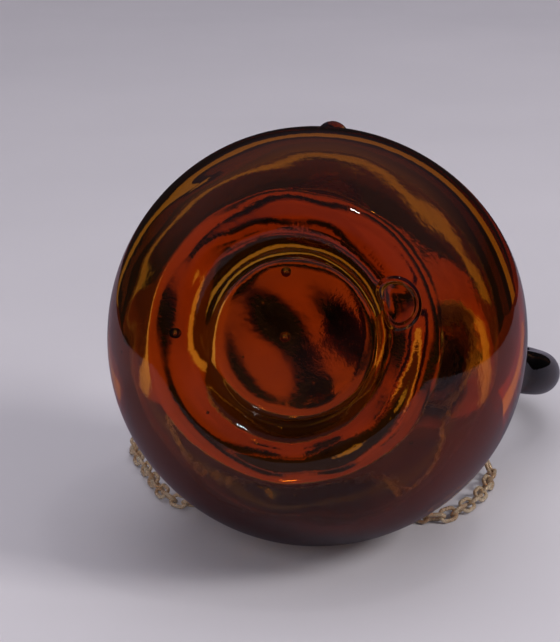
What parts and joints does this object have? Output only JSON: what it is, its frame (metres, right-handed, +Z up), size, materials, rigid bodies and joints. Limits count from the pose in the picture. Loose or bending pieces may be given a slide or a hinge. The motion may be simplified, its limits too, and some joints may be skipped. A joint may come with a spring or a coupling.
{
  "type": "retort flask",
  "caption": "Amber glass tubulated retort flask: round bulb with pushed-up foot, bent tapering beak, ground stopper, clamped neck band and loose neck chain.",
  "frame": {"origin": "on the surface that the flask lies on, under the middle of the flask's own box, chain left out", "axes": "+Z up from the surface; -Y the way the foot of the bulb faces; +X the side that the neck bends out to"},
  "size_m": [0.1158, 0.2198, 0.1],
  "materials": {
    "amber_glass": "thick amber glass, fire polished, with a few seeds",
    "stopper_glass": "solid dark amber glass with a ground plug",
    "cork": "pressed cork",
    "gilt_brass": "worn gilt brass",
    "chain_brass": "red-gold gilt brass, tarnished in the hollows"
  },
  "bodies": {
    "flask": {"bulb": "amber_glass", "neck": "amber_glass", "neck_bend": "amber_glass", "beak": "amber_glass", "tubulure": "amber_glass", "neck_liner": "cork", "neck_band": "gilt_brass", "band_nut": "gilt_brass", "lug_front": "gilt_brass", "lug_rear": "gilt_brass", "end_ring_front": "chain_brass", "end_ring_rear": "chain_brass", "neck_chain": "chain_brass"},
    "stopper": {"stopper": "stopper_glass"},
    "band_screw": {"band_screw": "gilt_brass"}
  },
  "joints": [
    {"name": "stopper_lift", "type": "slide", "parent": "flask", "child": "stopper", "axis": [-0.0877, 0.8731, 0.4797], "range_m": [0, 0.03]},
    {"name": "band_screw_turn", "type": "hinge", "parent": "flask", "child": "band_screw", "pos_m": [0.03489, -0.01296, 0.04346], "axis": [-0.7916, 0.6096, -0.0404], "continuous": true}
  ]
}
